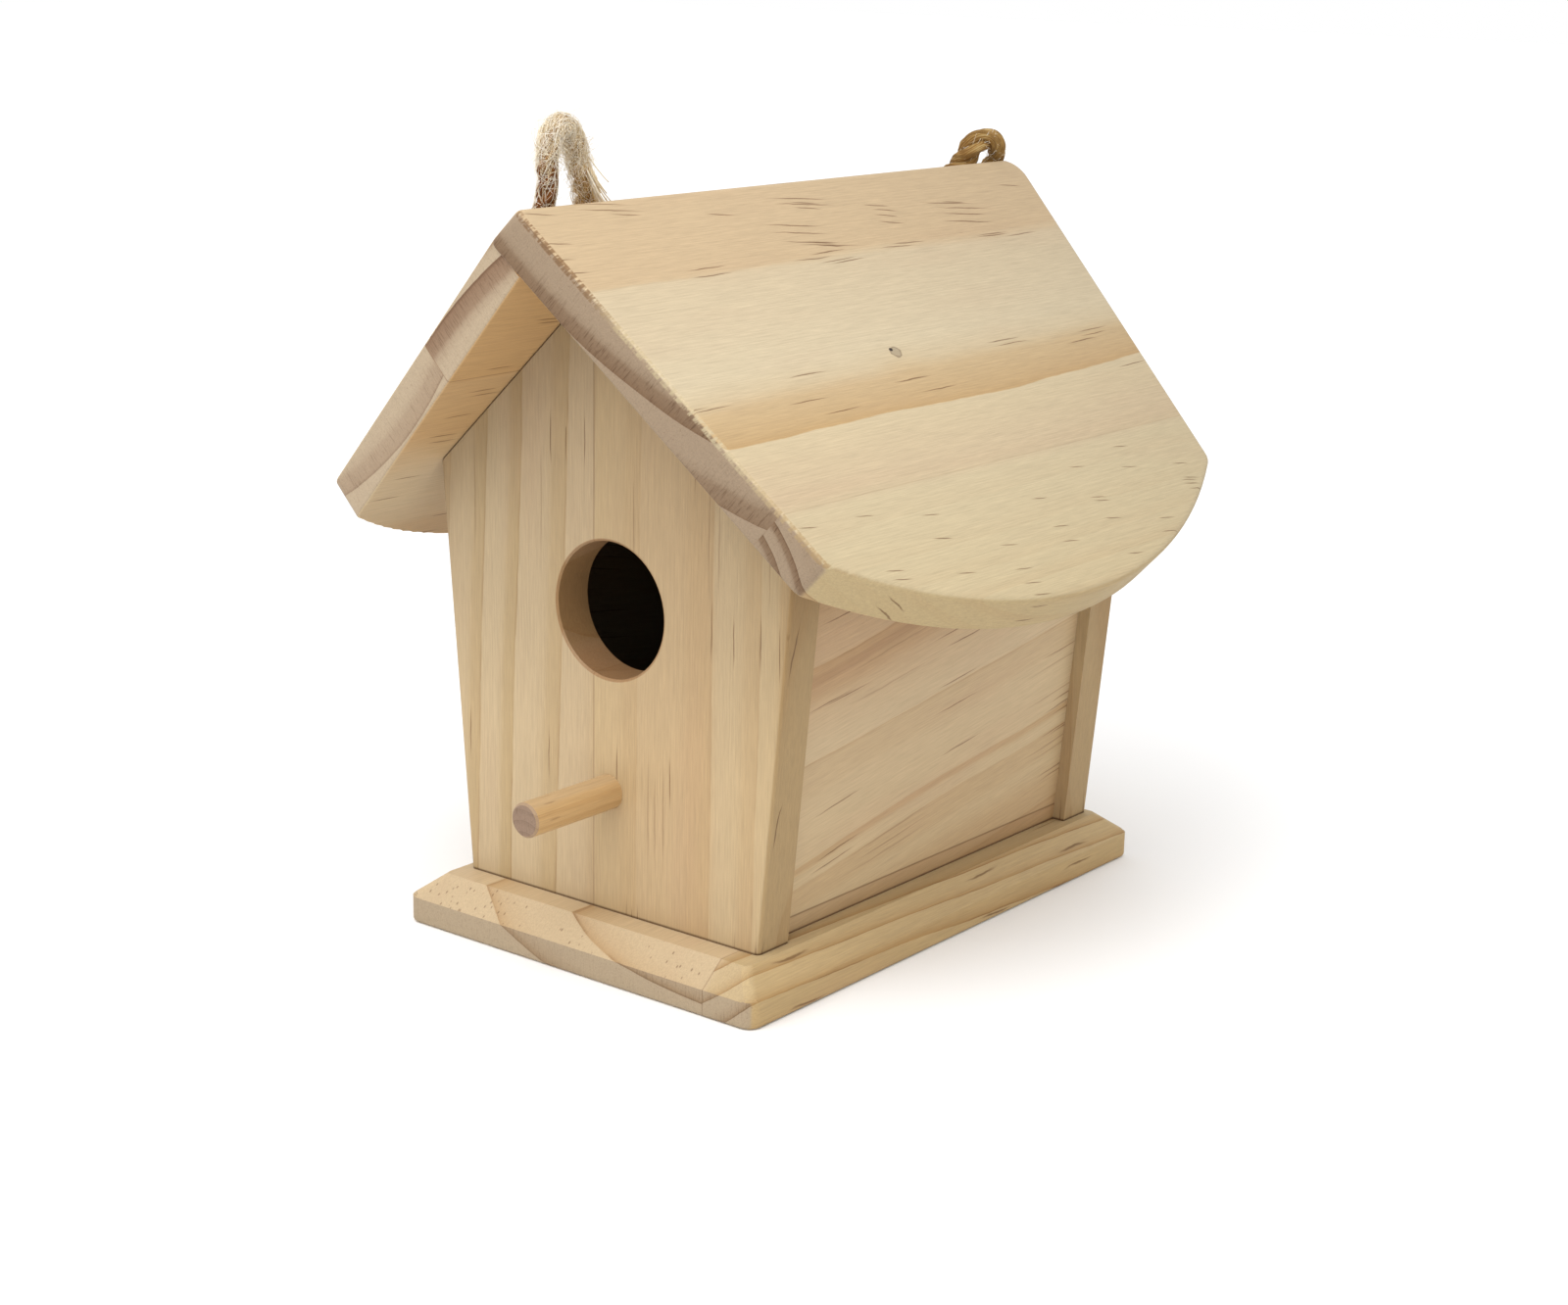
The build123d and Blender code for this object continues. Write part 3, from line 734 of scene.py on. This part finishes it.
frontLook = dict(
    origin=(0, -78, 0), grain=(0, 0, -1), out=(0, -1, 0), seed=31.0,
    shade=0.59, endShade=0.7, edgeShade=0.48,
    wander=(3.0, 2.0), width=(-70, 70),
    # painted shade by height, darker under the roof's overhang
    heights=[(14, 1.06), (60, 1.08), (95, 0.92), (125, 0.87), (150, 0.84), (165, 0.82)],
    strips=[
        dict(pith=(-160, -40), drift=0.035, rings=[
            (90, 0), (104, 0.45), (117, 0.7), (129, 0.8), (145.5, 0.65), (162, 0.4), (178, 0.4)]),
        dict(start=-5.6, seam=0.5, pith=(-120, -60), drift=0.01, rings=[
            (110, 0), (128, 0.3), (143, 0.35), (166.5, 0.4), (181, 0.4), (190, 0.7), (200, 0.7)]),
    ],
    early=[
        (-70, "#DCC096"), (-40, "#DFC59C"), (-6, "#DDC198"), (-5, "#DDBF90"), (10, "#DCBD90"),
        (34, "#DBBB8E"), (38, "#DDC196"), (70, "#DABD8E"),
    ],
    late=[(-70, "#CDAC78"), (-30, "#C9AA76"), (0, "#CFAC78"), (35, "#D0AA76"), (70, "#C49E6A")],
    endEarly="#B59773", endLate="#8C6B49", joints=True, bore=(99.5, 19.7),
    dashes=[
        dict(size=(44, 1.1), reach=0.22, zones=[
            (-70, 0.05), (-8, 0.05), (0, 0.06), (50, 0.06), (55, 0.14), (70, 0.14)]),
        dict(size=(80, 1.5), shift=5, dark=0.3, reach=0.26, zones=[(-70, 0.06), (70, 0.08)]),
    ],
)

backLook = {**frontLook, "origin": (0, 84, 0), "grain": (0, 0, 1), "out": (0, 1, 0), "seed": 55.0}
del backLook["bore"]

diagonal = math.radians(8.5)
sideLook = dict(
    origin=(53 - 4 / math.cos(lean), 0, 14),
    grain=(math.sin(diagonal) * math.sin(lean), math.cos(diagonal), math.sin(diagonal) * math.cos(lean)),
    out=(math.cos(lean), 0, -math.sin(lean)), seed=71.0,
    shade=0.73, endShade=0.7, wander=(6.0, 1.5), width=(-25, 125),
    strips=[
        dict(pith=(-60, 60), edge=0.97, rings=[
            (40, 0), (84, 0.3), (101.6, 0.35), (106.5, 0.6), (130, 0.25), (157, 0.6), (176, 0.4),
            (200, 0.4)]),
    ],
    early=[
        (-25, "#C8A477"), (5, "#D0B083"), (12, "#D8BD92"), (60, "#DCC29A"), (80, "#D8B78E"),
        (125, "#D3AE82"),
    ],
    late=[(-25, "#BC935F"), (125, "#C09560")],
    endEarly="#B59773", endLate="#8C6B49", pink=0.14, joints=True, foot=19.0, band=81.0, line=0.75,
    dashes=[
        dict(size=(56, 1.2), reach=0.22, zones=[
            (-25, 0.02), (10, 0.03), (20, 0.12), (36, 0.12), (60, 0.05), (64, 0.16), (90, 0.16),
            (125, 0.12)]),
        dict(size=(90, 1.5), shift=7, dark=0.3, reach=0.26, zones=[(-25, 0.05), (125, 0.08)]),
    ],
)
sideLeftLook = {
    **sideLook, "origin": (-53 + 4 / math.cos(lean), 0, 14), "seed": 93.0,
    "grain": (-math.sin(diagonal) * math.sin(lean), -math.cos(diagonal), math.sin(diagonal) * math.cos(lean)),
    "out": (-math.cos(lean), 0, -math.sin(lean)),
}

baseLook = dict(
    origin=(0, 0, 14), grain=(0, -1, 0), out=(0, 0, 1), seed=111.0, shade=0.68, endShade=0.52, edgeShade=0.6,
    wander=(4.0, 1.2), width=(-66, 66),
    strips=[
        dict(pith=(52, 160), rings=[(120, 0), (160, 0.3), (170.5, 0.8), (184.5, 0.8), (215, 0.3)]),
        dict(start=46.8, seam=0.45, pith=(0, 60), dive=0.05, rings=[
            (60, 0), (68, 0.8), (75, 0.8), (81.5, 0.9), (88, 0.9), (95, 0.9), (102, 0.8)]),
    ],
    early=[(-66, "#E3C89F"), (46, "#E3C89F"), (48, "#DCC192"), (66, "#D8BE90")],
    late=[(-66, "#D0A874"), (46, "#D0A874"), (48, "#BE965E"), (66, "#BE965E")],
    endEarly="#D8C09E", endLate="#B08A5E", hatch=0.3, endLine=0.5, line=0.8,
    pitZones=[(-66, 0.3), (-50, 0.75), (-27, 0.75), (-20, 0.12), (66, 0.25)],
    profile=[(0.0, 0.0), (0.5, 0.08), (0.8, 0.4), (1.0, 1.0)],
    dashes=[dict(size=(44, 1.2), reach=0.22, zones=[(-66, 0.05), (66, 0.08)])],
)

for nodeName, materialName, look in (
    ("roof_board_right", "roofRightPine", roofRightLook), ("roof_board_left", "roofLeftPine", roofLeftLook),
    ("front_wall", "frontPine", frontLook), ("back_wall", "backPine", backLook),
    ("side_panel_right", "sideRightPine", sideLook), ("side_panel_left", "sideLeftPine", sideLeftLook),
    ("base_board", "basePine", baseLook),
):
    dress(nodeName, pine(materialName, look))
print("boards dressed")


# Perch and hidden pins, turned dowel

dowelLook = dict(
    origin=(0, 0, 48.5), grain=(0, -1, 0), out=(0, 0, 1), seed=130.0,
    shade=0.72, endShade=0.56, wander=(1.0, 1.0), width=(-20, 20),
    strips=[
        dict(pith=(0, -9), rings=[(0, 0), (3, 0.3), (6, 0.4), (9, 0.4), (12, 0.4), (15, 0.4), (18, 0.4)]),
    ],
    early=[(-20, "#D9B88A"), (20, "#D9B88A")],
    late=[(-20, "#C69F6C"), (20, "#C69F6C")],
    endEarly="#AE9078", endLate="#977A62", pink=0.1, fibre=0.4,
    dashes=[dict(size=(14, 1.0), dark=0.3, zones=[(-20, 0.25), (20, 0.25)])],
)
# turned dowel, sanded smooth: faint rings 3 mm apart and few marks, a shade browner than the boards
dowelWood = pine("birchDowel", dowelLook)
for nodeName in ("perch_dowel", "side_dowel_pins", "roof_dowel_pins"):
    dress(nodeName, dowelWood)

# zinc-plated steel: pale grey metal whose gloss is broken up by fine grain in the plating
zinc, zincTree, zincShader = newMaterial("zincPlatedSteel")
zincShader.inputs["Base Color"].default_value = linear("#B9BAB4")
zincShader.inputs["Metallic"].default_value = 1.0
zincGrain = addNode(zincTree, "TexNoise", addNode(zincTree, "TexCoord").node.outputs["Object"], 900.0, 2.0)
zincGloss = addNode(zincTree, "MapRange", zincGrain, 0.0, 1.0, 0.28, 0.5)
zincTree.links.new(zincGloss, zincShader.inputs["Roughness"])
dress("base_screws", zinc)
print("fittings dressed")


# Stage and light

def makeStage():
    floorMesh = bpy.data.meshes.new("floor")
    half = 6.0
    corners = [(-half, -half, 0), (half, -half, 0), (half, half, 0), (-half, half, 0)]
    floorMesh.from_pydata(corners, [], [(0, 1, 2, 3)])
    floor = bpy.data.objects.new("floor", floorMesh)
    floor.location.z = -0.2 * mm  # just clear of the base's underside
    bpy.context.scene.collection.objects.link(floor)
    # white painted board: matt, so it takes a soft shadow and throws a little light back up
    material, _, shader = newMaterial("paleFloor")
    shader.inputs["Base Color"].default_value = (0.9, 0.9, 0.9, 1)
    shader.inputs["Roughness"].default_value = 0.9
    shader.inputs["Specular IOR Level"].default_value = 0.0
    floorMesh.materials.append(material)


def makeLight(name, place, aim, size, power):
    data = bpy.data.lights.new(name, "AREA")
    data.shape = "DISK"
    data.size = size
    data.energy = power
    light = bpy.data.objects.new(name, data)
    bpy.context.scene.collection.objects.link(light)
    light.location = place
    light.rotation_euler = (Vector(aim) - Vector(place)).to_track_quat("-Z", "Y").to_euler()


makeStage()
makeLight("frontSoftbox", (-0.25, -1.1, 0.95), (0, 0, 0.1), 0.9, 1.8)
makeLight("nearSoftbox", (0.12, -0.5, 0.72), (0.03, -0.05, 0.15), 0.45, 1.7)
sunData = bpy.data.lights.new("overheadSoftLight", "SUN")
sunData.energy = 0.9
sunData.angle = math.radians(70)  # as wide as a ceiling of diffusers
sun = bpy.data.objects.new("overheadSoftLight", sunData)
bpy.context.scene.collection.objects.link(sun)
sun.rotation_euler = Vector((-0.1, 0.45, -1)).to_track_quat("-Z", "Y").to_euler()
world = bpy.data.worlds.new("studio")
bpy.context.scene.world = world
world.use_nodes = True
world.node_tree.nodes["Background"].inputs["Color"].default_value = (1, 1, 1, 1)
world.node_tree.nodes["Background"].inputs["Strength"].default_value = 1.0
bpy.context.scene.view_settings.view_transform = "Standard"
print("stage lit")
